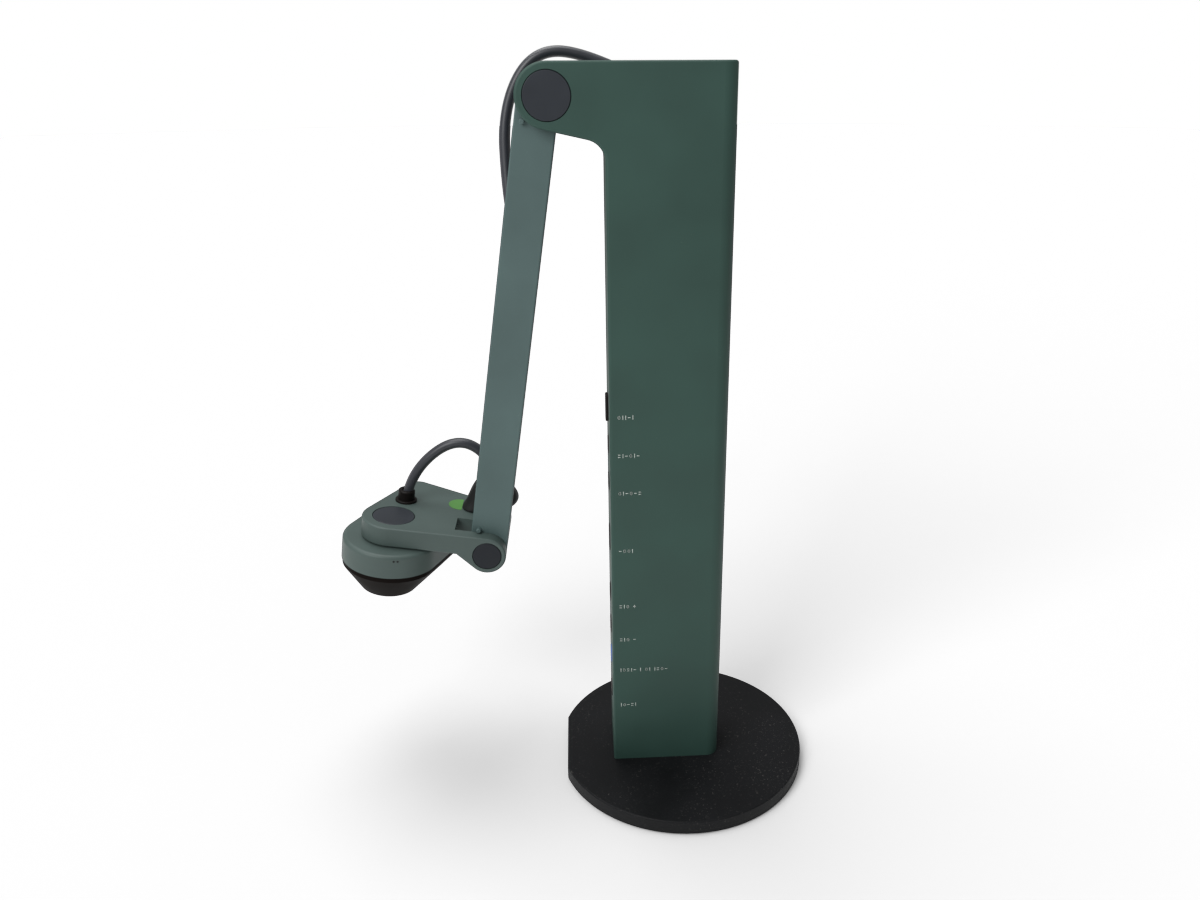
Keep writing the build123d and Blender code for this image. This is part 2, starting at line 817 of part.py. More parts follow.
def lead_along(points, name):
    """A round lead along straight runs joined by arcs."""
    runs = [(Vector(*b) - Vector(*a)).length for a, b in zip(points, points[1:])]
    radii = []
    for index in range(1, len(points) - 1):
        half_turn = turn_at(*points[index - 1 : index + 2]) / 2
        radii.append(0.45 * min(runs[index - 1], runs[index]) / math.tan(half_turn))
    path = FilletPolyline(*points, radius=radii)
    section = Plane(origin=path @ 0, z_dir=path % 0) * Circle(lead_radius)
    body = sweep(section, path=path)
    expected = math.pi * lead_radius**2 * path.length
    print(name, [round(r, 1) for r in radii], round(path.length, 1), round(body.volume / expected, 3))
    return body


def upper_lead():
    """Lead from the column's hood over the shoulder to the hood on the arm."""
    in_arm = [Vector(arm_hood[0], arm_far - 4.2, w) for w in (arm_hood[1] + 12.0, arm_hood[1] - 2.0)]
    ends = [Plane(arm_frame).from_local_coords(place) for place in in_arm]
    points = [
        (upper_hood[0], lead_plane, upper_hood[1]),
        (-42.5, lead_plane, 341.2),
        (-64.4, lead_plane, 341.2),
        (-77.2, lead_plane - 1, 319.0),
        (-76.7, 12.5, 286.0),
        tuple(ends[0]),
        tuple(ends[1]),
    ]
    return lead_along(points, "upper lead")


def lower_lead():
    """Lead from the boot up and over to the gland on the bracket, in the arm frame."""
    points = [
        (gland_place[0], -16.5, 5.2),
        (gland_place[0], -16.5, 21.6),
        (22.4, -16.5, 44.8),
        (3.0, -16.5, 36.2),
        (1.4, -16.5, 22.0),
    ]
    return lead_along(points, "lower lead")


def write_stand():
    """Write the nodes of the base and the column."""
    near, far = column_shells()
    write("base_plate", base_plate())
    write("base_pad", base_pad())
    write("base_screws", base_screws())
    write("column_near_shell", near)
    write("column_far_shell", far)
    write("column_foot", column_foot())
    write("column_spine", column_spine())
    write("column_shell_screws", shell_screws())
    write("button_strip", button_strip())
    write("button_board", button_board())
    write("main_board", main_board())
    write("port_panel", port_panel())
    write("video_socket", socket(video_socket))
    write("data_socket", socket(data_socket))
    write("column_lead_hood", column_hood() - upper_lead())
    for name, sizes in buttons.items():
        write(f"button_{name}", button(*sizes))


def write_shoulder():
    """Write the shoulder's hinge hardware."""
    floor = half_depth - cap_thickness - near_pocket
    far_floor = -half_depth + cap_thickness + shoulder_pocket
    pin = headed_pin(shoulder_pin, 6.0, floor, far_floor - 6.0)
    washers = friction_washers(shoulder_pin, 6.2, far_floor, -1)
    write("shoulder_pin", on_shoulder(pin))
    write("shoulder_washers", group(on_shoulder(piece) for piece in washers.solids()))
    write("shoulder_nut", on_shoulder(hinge_nut(shoulder_pin, 12.0, far_floor, -1)))
    write("shoulder_cap_near", on_shoulder(end_cap(cap_radius, half_depth, -1)))
    write("shoulder_cap_far", on_shoulder(end_cap(cap_radius, -half_depth, 1)))


def write_arm():
    """Write the nodes of the arm."""
    bushes = [hinge_bush(elbow_pin, (0, 0)), hinge_bush(shoulder_pin, shoulder_in_arm)]
    write("arm_bar", arm_frame * arm_bar())
    write("arm_cover", arm_frame * arm_cover())
    write("arm_cover_screws", group(arm_frame * screw for screw in arm_cover_screws().solids()))
    write("arm_stop_pegs", group(arm_frame * peg for peg in stop_pegs().solids()))
    write("arm_bushes", group(arm_frame * bush for bush in bushes))
    write("arm_lead_hood", arm_frame * arm_lead_hood() - upper_lead())
    write("upper_lead", upper_lead())


def write_bracket():
    """Write the nodes of the bracket, with the hardware of the elbow and the swivel."""
    floor = half_depth - cap_thickness - near_pocket
    far_floor = bracket_far + cap_thickness + elbow_pocket
    washers = on_elbow(friction_washers(elbow_pin, 5.2, far_floor, -1))
    write("bracket_body", arm_frame * bracket_body())
    write("bracket_under_cover", arm_frame * bracket_under_cover())
    write("bracket_screws", group(arm_frame * screw for screw in bracket_screws().solids()))
    write("bracket_gland", arm_frame * bracket_gland())
    write("bracket_lead_boot", arm_frame * lead_boot())
    write("bracket_sticker", arm_frame * sticker())
    write("elbow_pin", arm_frame * on_elbow(headed_pin(elbow_pin, 4.4, floor, far_floor - 6.0, 1.3)))
    write("elbow_washers", group(arm_frame * piece for piece in washers.solids()))
    write("elbow_nut", arm_frame * on_elbow(hinge_nut(elbow_pin, 9.8, far_floor, -1)))
    write("elbow_cap_near", arm_frame * on_elbow(end_cap(small_cap_radius, half_depth, -1)))
    write("elbow_cap_far", arm_frame * on_elbow(end_cap(small_cap_radius, bracket_far, 1)))
    write("lower_lead", arm_frame * lower_lead())
    floor = bracket_top - cap_thickness - near_pocket
    place = Pos(*swivel, 0)
    shelf = head_top - 4.0
    spacer = rod(8.0, bracket_underside, head_top + 0.05) - rod(swivel_pin + 0.1, -5, 5)
    washers = place * friction_washers(swivel_pin, 6.5, shelf, -1)
    write("swivel_pin", arm_frame * place * headed_pin(swivel_pin, 6.0, floor, shelf - 6.0, 1.7))
    write("swivel_washers", group(arm_frame * piece for piece in washers.solids()))
    write("swivel_nut", arm_frame * place * hinge_nut(swivel_pin, 12.0, shelf, -1))
    write("swivel_spacer", arm_frame * place * spacer)
    write("swivel_cap", arm_frame * place * end_cap(cap_radius, bracket_top, -1))


def write_head():
    """Write the nodes of the camera head."""
    elements = lens_elements()
    write("head_shell", arm_frame * head_shell_body())
    write("head_bezel", arm_frame * head_bezel())
    write("cover_glass", arm_frame * cover_glass())
    write("lens_barrel", arm_frame * lens_barrel())
    write("lens_elements", group(arm_frame * element for element in elements.solids()))
    write("sensor_board", arm_frame * sensor_board())
    write("lamp_diffuser", arm_frame * lamp_diffuser())
    write("lamp_board", arm_frame * lamp_board())


write_stand()
write_shoulder()
write_arm()
write_bracket()
write_head()
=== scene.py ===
"""Looks of the book scanner, a document camera whose folding arm hangs from a tall column.

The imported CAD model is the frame. The pieces made here are the two leads, the rubber boot,
the printed marks and the microphone holes, and every CAD node gets its real finish.
"""

import math

import bmesh
import bpy
from mathutils import Matrix, Vector


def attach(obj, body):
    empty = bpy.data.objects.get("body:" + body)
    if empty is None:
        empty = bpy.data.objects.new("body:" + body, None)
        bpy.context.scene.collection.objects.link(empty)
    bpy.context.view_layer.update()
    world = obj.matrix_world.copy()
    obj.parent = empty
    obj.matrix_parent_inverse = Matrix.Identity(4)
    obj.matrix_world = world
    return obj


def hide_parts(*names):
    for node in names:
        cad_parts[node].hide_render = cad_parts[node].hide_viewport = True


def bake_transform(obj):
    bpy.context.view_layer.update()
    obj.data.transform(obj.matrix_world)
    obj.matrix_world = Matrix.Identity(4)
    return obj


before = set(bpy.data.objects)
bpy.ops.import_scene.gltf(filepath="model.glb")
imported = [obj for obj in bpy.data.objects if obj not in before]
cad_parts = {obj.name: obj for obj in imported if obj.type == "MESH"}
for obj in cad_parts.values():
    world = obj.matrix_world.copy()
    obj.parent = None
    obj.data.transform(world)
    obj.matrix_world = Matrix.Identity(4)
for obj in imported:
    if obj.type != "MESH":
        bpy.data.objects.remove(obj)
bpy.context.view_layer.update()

bl_info = {
    "name": "Book scanner",
    "version": (1, 0, 0),
    "blender": (4, 5, 0),
    "location": "3D View > Sidebar > Book scanner",
    "description": "Leads, boot, marks and finishes of a folding document camera",
    "category": "Object",
}

MM = 0.001

# The arm frame: its origin is on the elbow axis, u runs along the bracket away from the
# column, v towards the printed side, and w up along the arm.
ARM_TILT = math.radians(8.9)
U_AXIS = Vector((-math.cos(ARM_TILT), 0, math.sin(ARM_TILT)))
V_AXIS = Vector((0, -1, 0))
W_AXIS = Vector((math.sin(ARM_TILT), 0, math.cos(ARM_TILT)))
SHOULDER = Vector((-57.9, 0, 324.7))
ARM_LENGTH = 202.4
SHOULDER_OFFSET = 3.4
ELBOW = SHOULDER - W_AXIS * ARM_LENGTH + U_AXIS * SHOULDER_OFFSET
# The column's front edge in x, its printed face in y, and the base's top in z
COLUMN_FRONT = -35.2
PRINTED_FACE = -15.5
BASE_TOP = 7.4


def in_row(place):
    """A place given in millimetres, in metres."""
    return Vector(place) * MM


def in_arm(u, v, w):
    """A place in the arm frame, in metres in the row frame."""
    return (ELBOW + U_AXIS * u + V_AXIS * v + W_AXIS * w) * MM


# Both leads' routes, from inside one housing to inside the other
UPPER_ROUTE = [
    in_row((-17.0, 18.1, 328.9)),
    in_row((-42.5, 18.1, 341.2)),
    in_row((-64.4, 18.1, 341.2)),
    in_row((-77.2, 17.1, 319.0)),
    in_row((-76.7, 12.5, 286.0)),
    in_arm(2.8, -7.3, 142.0),
    in_arm(2.8, -7.3, 128.0),
]
LOWER_ROUTE = [
    in_arm(42.4, -16.5, 5.2),
    in_arm(42.4, -16.5, 21.6),
    in_arm(22.4, -16.5, 44.8),
    in_arm(3.0, -16.5, 36.2),
    in_arm(1.4, -16.5, 22.0),
]

# The boot's rings from its foot to its tip: height, middle, half width, half depth
BOOT_RINGS = [
    (8.62, 8.2, 6.6, 6.0),
    (8.9, 8.1, 7.4, 6.7),
    (10.4, 5.2, 9.9, 6.9),
    (12.8, 2.2, 11.6, 6.9),
    (16.6, 0.4, 12.2, 6.8),
    (20.4, 0.8, 10.7, 6.4),
    (24.2, 1.9, 7.6, 5.4),
    (26.2, 2.2, 5.2, 4.6),
    (27.6, 2.3, 4.1, 4.1),
    (28.4, 2.3, 4.0, 4.0),
    (28.9, 2.4, 3.2, 3.2),
    (29.6, 2.4, 3.2, 3.2),
    (30.1, 2.5, 3.8, 3.8),
    (30.9, 2.6, 3.7, 3.7),
    (31.4, 2.6, 3.0, 3.0),
    (32.1, 2.7, 3.0, 3.0),
    (32.6, 2.7, 3.4, 3.4),
    (33.4, 2.8, 3.2, 3.2),
    (33.6, 2.8, 2.4, 2.4),
]
BOOT_V = -16.5
BOOT_SIDES = 28

# The head turns about the swivel: its place in u and v, and the radius of its wall
SWIVEL = (45.3, 1.3)
HEAD_RADIUS = 22.3
# Microphone holes in that wall: direction from +u towards +v in degrees, and height
MICROPHONES = [(101.5, -3.6), (106.0, -3.6)]
# A microphone's rings from its rim inwards: share of its radius, and height over the wall
MICROPHONE_RINGS = [(1.0, -0.1), (1.0, 0.04), (0.86, 0.06), (0.74, 0.02), (0.1, 0.015)]
MICROPHONE_SIDES = 20

# Printed marks: height above the base and the signs in the row
MARKS = {
    "light": (184.1, "obb-b"),
    "filter": (165.9, "=b-ob-"),
    "rotate": (147.6, "ob-o-="),
    "zoom": (118.3, "-oob"),
    "exposure_up": (88.7, "=bo +"),
    "exposure_down": (70.4, "=bo -"),
    "focus": (53.1, "bo=b- b ob b=o-"),
    "power": (32.8, "bo-=b"),
}
# How far the rows start from the column's front edge, and the thickness of the ink
MARK_INSET = 3.7
INK_THICKNESS = 0.03
RING_STEP = math.pi / 5


def on_sign_ring(step):
    """A place on the small ring sign, as shares of the mark's height."""
    return (
        0.3 + 0.28 * math.cos(step * RING_STEP),
        0.5 + 0.42 * math.sin(step * RING_STEP),
    )


# Each sign's strokes and the room it takes, as shares of the mark's height
SIGN_STROKES = {
    "b": [((0.1, 0.0), (0.1, 1.0))],
    "-": [((0.0, 0.5), (0.55, 0.5))],
    "=": [((0.0, 0.18), (0.5, 0.18)), ((0.0, 0.82), (0.5, 0.82))],
    "+": [((0.0, 0.5), (0.6, 0.5)), ((0.3, 0.15), (0.3, 0.85))],
    "o": [(on_sign_ring(step), on_sign_ring(step + 1)) for step in range(10)],
    " ": [],
}
SIGN_WIDTH = {"b": 0.72, "-": 1.1, "=": 1.1, "+": 1.15, "o": 1.15, " ": 0.7}

# The camera: its place in millimetres, its angles in degrees, and its lens
CAMERA_PLACE = (-47.32, -412.12, 334.52)
CAMERA_PITCH = 21.34
CAMERA_YAW = 3.25
CAMERA_ROLL = -0.275
CAMERA_SENSOR = 36
CAMERA_LENS = 28.82
CAMERA_SHIFT = (-0.0277, -0.0055)

# Studio lights: name, place, what it points at, size and power
STUDIO_LIGHTS = [
    ("key", (-0.55, -0.6, 0.75), (-0.05, 0.0, 0.3), 0.5, 6.6),
    ("top", (-0.3, 0.2, 1.5), (-0.1, 0.0, 0.2), 1.0, 17.0),
]
# The room's light on the object, and the brightness of the white behind it
ROOM_LIGHT = 0.34
BACKDROP = 1.0
FLOOR_RADIUS = 6.0


def linear(hex_colour):
    """Linear colour with alpha from an sRGB hex value."""
    channels = [int(hex_colour[i : i + 2], 16) / 255 for i in (1, 3, 5)]
    curve = [c / 12.92 if c <= 0.04045 else ((c + 0.055) / 1.055) ** 2.4 for c in channels]
    return (*curve, 1.0)


def colour_property(label, text, hex_colour):
    """A colour that a user can change."""
    return bpy.props.FloatVectorProperty(
        name=label,
        description=text,
        subtype="COLOR",
        size=4,
        min=0,
        max=1,
        default=linear(hex_colour),
    )


class ScannerSizes(bpy.types.PropertyGroup):
    """Sizes of the pieces that are made here."""

    lead_diameter: bpy.props.FloatProperty(
        name="Lead diameter",
        description="Outside diameter of both leads",
        default=4.5 * MM,
        unit="LENGTH",
    )
    mark_height: bpy.props.FloatProperty(
        name="Mark height",
        description="Height of the printed marks beside the buttons",
        default=1.75 * MM,
        unit="LENGTH",
    )
    stroke: bpy.props.FloatProperty(
        name="Mark stroke",
        description="Width of the printed strokes",
        default=0.25 * MM,
        unit="LENGTH",
    )
    microphone_hole: bpy.props.FloatProperty(
        name="Microphone hole",
        description="Diameter of each microphone hole",
        default=1.0 * MM,
        unit="LENGTH",
    )


class ScannerColours(bpy.types.PropertyGroup):
    """Colours of the finishes."""

    casing: colour_property("Casing", "Textured green paint of the column", "#2b443d")
    head: colour_property("Head", "Textured green paint of the bracket and head", "#424f4c")
    arm: colour_property("Arm", "Textured grey-green paint of the arm", "#495b5a")
    base: colour_property("Base", "Black powder coat of the base", "#0e0f11")
    caps: colour_property("Caps", "Charcoal of the hinge caps", "#23272d")
    jacket: colour_property("Lead jacket", "Jacket of both leads", "#20232a")
    rubber: colour_property("Rubber", "Moulded rubber of the boot and hoods", "#141515")
    print_ink: colour_property("Print", "Ink of the marks", "#c6cbc6")
    sticker: colour_property("Sticker", "Round sticker on the bracket", "#467a35")


# ------------------------------------------------------------------ materials


def scale_of(millimetres):
    """Texture scale at which one feature of the pattern has this size."""
    return 1000 / millimetres


def add_node(tree, kind, settings=None, links=None):
    """Add a node, set its inputs or properties, and link its inputs."""
    node = tree.nodes.new(kind)
    for key, value in (settings or {}).items():
        if isinstance(key, str) and hasattr(node, key):
            setattr(node, key, value)
        else:
            node.inputs[key].default_value = value
    for key, (source, output) in (links or {}).items():
        tree.links.new(source.outputs[output], node.inputs[key])
    return node


def new_material(name, **settings):
    """A material with one shader, its uniform values set on the shader's own sockets."""
    material = bpy.data.materials.new(name)
    material.use_nodes = True
    tree = material.node_tree
    tree.nodes.clear()
    shader = add_node(tree, "ShaderNodeBsdfPrincipled")
    for key, value in settings.items():
        shader.inputs[key.replace("_", " ")].default_value = value
    add_node(tree, "ShaderNodeOutputMaterial", links={"Surface": (shader, "BSDF")})
    coords = add_node(tree, "ShaderNodeTexCoord")
    return material, tree, shader, coords


def noise(tree, coords, size_mm, detail=2.0, roughness=0.5):
    """Noise whose features have this size, in object coordinates."""
    settings = {"Scale": scale_of(size_mm), "Detail": detail, "Roughness": roughness}
    return add_node(tree, "ShaderNodeTexNoise", settings, {"Vector": (coords, "Object")})


def ramp(tree, source, low, high, first=0.0, last=1.0):
    """Spread part of a pattern's range over two values."""
    settings = {"From Min": low, "From Max": high, "To Min": first, "To Max": last}
    return add_node(tree, "ShaderNodeMapRange", settings, {"Value": source})


def blend_colours(tree, factor, first, second):
    """Mix two colours by a pattern. Each is a colour or a node."""
    mix = add_node(tree, "ShaderNodeMix", {"data_type": "RGBA"}, {"Factor": factor})
    for socket, colour in ((mix.inputs[6], first), (mix.inputs[7], second)):
        if isinstance(colour, bpy.types.Node):
            tree.links.new(colour.outputs[2], socket)
        else:
            socket.default_value = colour
    return mix


def add_bump(tree, shader, source, strength, depth_mm):
    """Raise the surface by a pattern."""
    bump = add_node(
        tree,
        "ShaderNodeBump",
        {"Strength": strength, "Distance": depth_mm * MM},
        {"Height": source},
    )
    tree.links.new(bump.outputs["Normal"], shader.inputs["Normal"])


def shade(colour, factor):
    """A lighter or darker form of a colour."""
    return (*[min(1, c * factor) for c in colour[:3]], 1.0)


PAINT_GRAIN = 0.7


def textured_paint(name, colour, dust, roughness):
    """Sprayed paint with a fine grain, slow changes of tone and a little dust."""
    material, tree, shader, coords = new_material(name, Specular_IOR_Level=0.3)
    cloud = noise(tree, coords, 38, 3)
    tone = ramp(tree, (cloud, "Fac"), 0.35, 0.68)
    body = blend_colours(tree, (tone, "Result"), shade(colour, 0.9), shade(colour, 1.1))
    grain = noise(tree, coords, PAINT_GRAIN, 3, 0.6)
    fleck = ramp(tree, (grain, "Fac"), 0.6, 0.78, 0.0, 0.3)
    grainy = blend_colours(tree, (fleck, "Result"), body, shade(colour, 1.45))
    speck = noise(tree, coords, 1.6, 4, 0.75)
    settled = ramp(tree, (speck, "Fac"), 0.69, 0.76, 0.0, dust)
    dusty = blend_colours(tree, (settled, "Result"), grainy, linear("#8d948f"))
    tree.links.new(dusty.outputs[2], shader.inputs["Base Color"])
    rough = ramp(tree, (cloud, "Fac"), 0.3, 0.7, roughness - 0.06, roughness + 0.06)
    tree.links.new(rough.outputs["Result"], shader.inputs["Roughness"])
    add_bump(tree, shader, (grain, "Fac"), 0.35, 0.06)
    return material


def green_casing_paint(colours):
    """Textured polyurethane paint, sprayed on moulded shells: deep green and quite matt."""
    return textured_paint("textured_green_paint", colours.casing, 0.16, 0.58)


def green_head_paint(colours):
    """The same paint on the bracket and head, paler, greyer and smoother than on the column."""
    return textured_paint("textured_head_paint", colours.head, 0.22, 0.5)


def grey_green_arm_paint(colours):
    """The same paint on the die-cast arm, a little greyer and worn slightly smoother."""
    return textured_paint("textured_grey_green_paint", colours.arm, 0.2, 0.5)


def black_powder_coat(colours):
    """Powder coat baked on steel: near black and matt, with dust caught in its fine grit."""
    material, tree, shader, coords = new_material("black_powder_coat", Specular_IOR_Level=0.16)
    grit = noise(tree, coords, 0.8, 4, 0.65)
    cloud = noise(tree, coords, 30, 4, 0.6)
    tone = ramp(tree, (cloud, "Fac"), 0.35, 0.7)
    dark, light = shade(colours.base, 0.75), shade(colours.base, 1.35)
    body = blend_colours(tree, (tone, "Result"), dark, light)
    speck = noise(tree, coords, 1.1, 5, 0.8)
    dust = ramp(tree, (speck, "Fac"), 0.6, 0.7, 0.0, 0.5)
    patch = ramp(tree, (cloud, "Fac"), 0.38, 0.6, 0.12, 1.0)
    amount = add_node(
        tree,
        "ShaderNodeMath",
        {"operation": "MULTIPLY"},
        {0: (dust, "Result"), 1: (patch, "Result")},
    )
    dusty = blend_colours(tree, (amount, "Value"), body, linear("#8a8681"))
    tree.links.new(dusty.outputs[2], shader.inputs["Base Color"])
    rough = ramp(tree, (cloud, "Fac"), 0.3, 0.7, 0.5, 0.66)
    tree.links.new(rough.outputs["Result"], shader.inputs["Roughness"])
    add_bump(tree, shader, (grit, "Fac"), 0.5, 0.08)
    return material


def moulded(name, colour, grain_mm, roughness, spread=0.12, depth_mm=0.03, **settings):
    """Moulded plastic or rubber with a spark-eroded grain and slightly uneven gloss."""
    material, tree, shader, coords = new_material(name, **settings)
    cloud = noise(tree, coords, 14, 3)
    tone = ramp(tree, (cloud, "Fac"), 0.3, 0.7)
    body = blend_colours(
        tree, (tone, "Result"), shade(colour, 1 - spread), shade(colour, 1 + spread)
    )
    tree.links.new(body.outputs[2], shader.inputs["Base Color"])
    rough = ramp(tree, (cloud, "Fac"), 0.3, 0.7, roughness - 0.05, roughness + 0.07)
    tree.links.new(rough.outputs["Result"], shader.inputs["Roughness"])
    grain = noise(tree, coords, grain_mm, 3, 0.6)
    add_bump(tree, shader, (grain, "Fac"), 0.3, depth_mm)
    return material


def brushed(name, colour, roughness, across_mm=0.4, along_mm=14):
    """Turned or rolled metal, with fine lines that stretch its highlights."""
    material, tree, shader, coords = new_material(name, Metallic=1.0)
    stretch = add_node(
        tree,
        "ShaderNodeMapping",
        {"Scale": (scale_of(across_mm), scale_of(across_mm), scale_of(along_mm))},
        {"Vector": (coords, "Object")},
    )
    lines = add_node(
        tree, "ShaderNodeTexNoise", {"Scale": 1.0, "Detail": 3.0}, {"Vector": (stretch, "Vector")}
    )
    body = blend_colours(tree, (lines, "Fac"), shade(colour, 0.8), shade(colour, 1.1))
    tree.links.new(body.outputs[2], shader.inputs["Base Color"])
    rough = ramp(tree, (lines, "Fac"), 0.3, 0.7, roughness - 0.06, roughness + 0.1)
    tree.links.new(rough.outputs["Result"], shader.inputs["Roughness"])
    add_bump(tree, shader, (lines, "Fac"), 0.15, 0.02)
    return material


def circuit_laminate():
    """Etched glass-fibre laminate under solder mask: glossy green with fine copper tracks."""
    material, tree, shader, coords = new_material("glass_fibre_laminate", Specular_IOR_Level=0.5)
    settings = {"Scale": scale_of(2.4), "Mortar Size": 0.12, "Mortar": (1, 1, 1, 1)}
    settings |= {"Color1": (0, 0, 0, 1), "Color2": (0, 0, 0, 1)}
    tracks = add_node(tree, "ShaderNodeTexBrick", settings, {"Vector": (coords, "Object")})
    body = blend_colours(tree, (tracks, "Color"), linear("#123d22"), linear("#2a6b3a"))
    tree.links.new(body.outputs[2], shader.inputs["Base Color"])
    shader.inputs["Roughness"].default_value = 0.3
    return material


def coated_glass():
    """Optical glass with a blooming coat: clear, with a faint violet reflection."""
    material, tree, shader, coords = new_material(
        "coated_optical_glass", Transmission_Weight=1.0, IOR=1.52, Coat_Weight=0.3
    )
    smear = noise(tree, coords, 6, 3)
    rough = ramp(tree, (smear, "Fac"), 0.4, 0.8, 0.01, 0.07)
    tree.links.new(rough.outputs["Result"], shader.inputs["Roughness"])
    tint = blend_colours(tree, (smear, "Fac"), linear("#f2eef8"), linear("#e4f0f2"))
    tree.links.new(tint.outputs[2], shader.inputs["Base Color"])
    return material


def give(material, *nodes):
    """Put a material on CAD nodes in place of the plain one they came with."""
    for name in nodes:
        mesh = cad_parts[name].data
        mesh.materials.clear()
        mesh.materials.append(material)


# ------------------------------------------------------------------ geometry


def new_object(name, mesh, material, body=None):
    """Put a mesh or a curve in the scene, on a body."""
    piece = bpy.data.objects.new(name, mesh)
    bpy.context.scene.collection.objects.link(piece)
    mesh.materials.append(material)
    if body:
        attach(piece, body)
    return piece


def lead_curve(name, route, radius):
    """A lead's own line: one smooth spline that the route's points pull on."""
    curve = bpy.data.curves.new(name, "CURVE")
    curve.dimensions = "3D"
    spline = curve.splines.new("NURBS")
    spline.points.add(len(route) - 1)
    for point, place in zip(spline.points, route):
        point.co = (*place, 1.0)
    spline.order_u = 3
    spline.use_endpoint_u = True
    spline.resolution_u = 24
    curve.resolution_u = 24
    curve.bevel_depth = radius
    curve.bevel_resolution = 6
    return curve


def line_of(route):
    """Points along a route's spline, read from the curve with no bevel."""
    curve = lead_curve("lead_line", route, 0.0)
    holder = bpy.data.objects.new("lead_line", curve)
    bpy.context.scene.collection.objects.link(holder)
    bpy.context.view_layer.update()
    mesh = bpy.data.meshes.new_from_object(holder)
    points = [vertex.co.copy() for vertex in mesh.vertices]
    bpy.data.objects.remove(holder)
    bpy.data.meshes.remove(mesh)
    bpy.data.curves.remove(curve)
    return points


def line_length(points):
    """Length along a row of points."""
    return sum((b - a).length for a, b in zip(points, points[1:]))


def ring_frames(points):
    """Two axes across the line at each of its points, turned as little as possible."""
    tangents = []
    for i in range(len(points)):
        before = points[max(i - 1, 0)]
        after = points[min(i + 1, len(points) - 1)]
        tangents.append((after - before).normalized())
    side = tangents[0].orthogonal().normalized()
    frames = []
    for tangent in tangents:
        side = (side - tangent * side.dot(tangent)).normalized()
        frames.append((side, tangent.cross(side)))
    return frames


def squared(value):
    """Part of a circle's sine or cosine, pushed out towards a rounded square."""
    return math.copysign(abs(value) ** 0.8, value)


def add_ring(built, count, place_at):
    """Add one ring of points, each where its turn about the ring puts it."""
    return [built.verts.new(place_at(2 * math.pi * step / count)) for step in range(count)]


def tube_mesh(name, points, radius, around=24):
    """A closed round tube along a line."""
    built = bmesh.new()
    rings = []
    for place, (side, up) in zip(points, ring_frames(points)):

        def place_at(turn):
            return place + (side * math.cos(turn) + up * math.sin(turn)) * radius

        rings.append(add_ring(built, around, place_at))
    skin_rings(built, rings)
    return finished_mesh(name, built)


def skin_rings(built, rings):
    """Join rings of the same count into a closed skin."""
    count = len(rings[0])
    for low, high in zip(rings, rings[1:]):
        for i in range(count):
            j = (i + 1) % count
            built.faces.new((low[i], low[j], high[j], high[i]))
    built.faces.new(reversed(rings[0]))
    built.faces.new(rings[-1])


def finished_mesh(name, built):
    """Turn a bmesh into a smooth mesh with its faces outwards."""
    bmesh.ops.recalc_face_normals(built, faces=built.faces)
    mesh = bpy.data.meshes.new(name)
    built.to_mesh(mesh)
    built.free()
    for face in mesh.polygons:
        face.use_smooth = True
    return mesh


class ScannerOperator:
    """What the piece operators share."""

    bl_options = {"REGISTER", "UNDO"}

    def sizes(self, context):
        """The sizes that a user can change."""
        return context.scene.scanner_sizes

    def colours(self, context):
        """The colours that a user can change."""
        return context.scene.scanner_colours


class SCANNER_OT_camera(ScannerOperator, bpy.types.Operator):
    """Set the camera in front of the printed side, a little to the left, looking down"""

    bl_idname = "scanner.camera"
    bl_label = "Camera"

    def execute(self, context):
        pitch = math.radians(CAMERA_PITCH)
        yaw = math.radians(CAMERA_YAW)
        roll = math.radians(CAMERA_ROLL)
        forward = Vector(
            (math.sin(yaw) * math.cos(pitch), math.cos(yaw) * math.cos(pitch), -math.sin(pitch))
        )
        level = Vector((math.cos(yaw), -math.sin(yaw), 0))
        upright = level.cross(forward)
        right = level * math.cos(roll) + upright * math.sin(roll)
        up = upright * math.cos(roll) - level * math.sin(roll)
        data = bpy.data.cameras.new("camera")
        data.sensor_width = CAMERA_SENSOR
        data.lens = CAMERA_LENS
        data.shift_x, data.shift_y = CAMERA_SHIFT
        data.clip_start = 0.01
        camera = bpy.data.objects.new("camera", data)
        turn = Matrix((right, up, -forward)).transposed().to_4x4()
        camera.matrix_world = Matrix.Translation(in_row(CAMERA_PLACE)) @ turn
        context.scene.collection.objects.link(camera)
        context.scene.camera = camera
        return {"FINISHED"}


class SCANNER_OT_leads(ScannerOperator, bpy.types.Operator):
    """Run the upper lead over the shoulder and the lower lead over the bracket"""

    bl_idname = "scanner.leads"
    bl_label = "Leads"

    def execute(self, context):
        diameter = self.sizes(context).lead_diameter
        # PVC jacket: blue-black, with a soft light along its length
        jacket = moulded(
            "pvc_lead_jacket",
            self.colours(context).jacket,
            0.5,
            0.42,
            depth_mm=0.02,
            Sheen_Weight=0.15,
            Specular_IOR_Level=0.5,
        )
        line = line_of(UPPER_ROUTE)
        mesh = tube_mesh("upper_lead_jacket", line, diameter / 2)
        upper = new_object("upper_lead_jacket", mesh, jacket)
        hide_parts("upper_lead")
        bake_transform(upper)
        curve = lead_curve("lower_lead_jacket", LOWER_ROUTE, diameter / 2)
        curve.use_fill_caps = True
        lower = new_object("lower_lead_jacket", curve, jacket, "bracket")
        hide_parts("lower_lead")
        line_length(line_of(LOWER_ROUTE))
        return {"FINISHED"}


